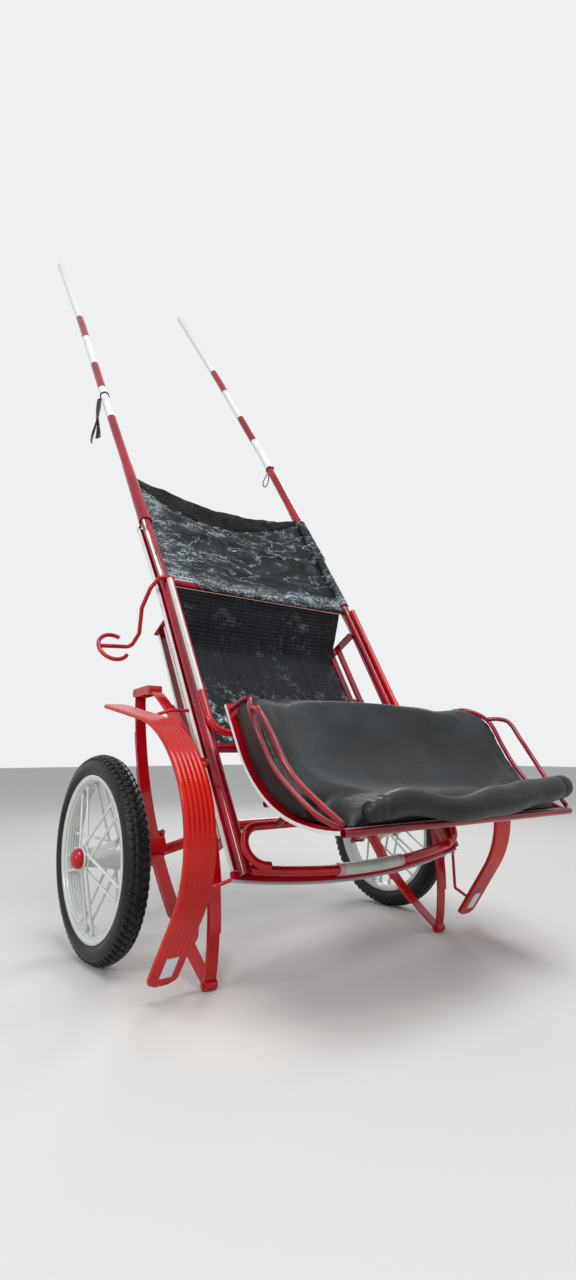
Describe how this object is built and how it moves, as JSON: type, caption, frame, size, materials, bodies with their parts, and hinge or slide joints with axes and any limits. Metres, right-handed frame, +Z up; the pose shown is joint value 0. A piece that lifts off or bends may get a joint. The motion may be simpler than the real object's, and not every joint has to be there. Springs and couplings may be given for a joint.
{
  "type": "horse cart",
  "caption": "Light two-wheeled horse cart with tube shafts, elliptic springs and a sprung bench seat, parked tipped back.",
  "frame": {"origin": "middle of the box's base: on the ground under the parked cart, half way from left to right and from the roll to the shaft tips", "axes": "+X to the cart's right, +Y the way it faces, +Z up; parked, the shafts rise forwards at 60 degrees"},
  "size_m": [1.3622, 2.5496, 3.4101],
  "materials": {
    "tyre": "matt",
    "white_paint": "worn gloss",
    "red_paint": "gloss",
    "orange_paint": "gloss",
    "reflector": "gloss",
    "net": "open weave",
    "tarp": "gloss",
    "vinyl": "satin",
    "board": "plain",
    "leather": "worn"
  },
  "bodies": {
    "frame": {"shaft_rear_left": "red_paint", "shaft_front_left": "red_paint", "shaft_clamps_left": "red_paint", "shaft_rear_right": "red_paint", "shaft_front_right": "red_paint", "shaft_clamps_right": "red_paint", "frame_cross_tube": "red_paint", "front_crossbar": "red_paint", "tail_tube": "red_paint", "tail_sleeve": "white_paint", "edge_strip_tail": "white_paint", "edge_strip_left": "white_paint", "edge_strip_right": "white_paint", "seat_loop_front": "red_paint", "seat_loop_rear": "red_paint", "floor_side_left": "red_paint", "floor_side_right": "red_paint", "floor_net": "net", "dash_tarp": "tarp", "seat_top_rail": "red_paint", "seat_side_bar_left": "red_paint", "seat_side_bar_right": "red_paint", "seat_board": "board", "seat_cushion": "vinyl", "seat_bearer_front": "red_paint", "seat_bearer_rear": "red_paint", "seat_roll": "vinyl", "armrests_left": "red_paint", "seat_side_left": "vinyl", "armrests_right": "red_paint", "seat_side_right": "vinyl", "fender_left": "orange_paint", "reflector_left": "reflector", "fender_stays_left": "orange_paint", "fender_right": "orange_paint", "reflector_right": "reflector", "fender_stays_right": "orange_paint", "spring_lower_left": "red_paint", "spring_upper_left": "red_paint", "spring_links_left": "red_paint", "spring_lower_right": "red_paint", "spring_upper_right": "red_paint", "spring_links_right": "red_paint", "axle": "red_paint", "axle_clamp_left": "red_paint", "spring_seat_left": "red_paint", "axle_clamp_right": "red_paint", "spring_seat_right": "red_paint", "step_left": "red_paint", "shaft_strap": "leather"},
    "wheel_left": {"tyre_left": "tyre", "rim_left": "white_paint", "hub_left": "white_paint", "hub_cap_left": "red_paint"},
    "wheel_right": {"tyre_right": "tyre", "rim_right": "white_paint", "hub_right": "white_paint", "hub_cap_right": "red_paint"}
  },
  "joints": [
    {"name": "left_wheel_spin", "type": "hinge", "parent": "frame", "child": "wheel_left", "pos_m": [-0.612, -0.26986, 0.3], "axis": [1, 0, 0], "continuous": true},
    {"name": "right_wheel_spin", "type": "hinge", "parent": "frame", "child": "wheel_right", "pos_m": [0.612, -0.26986, 0.3], "axis": [1, 0, 0], "continuous": true}
  ]
}
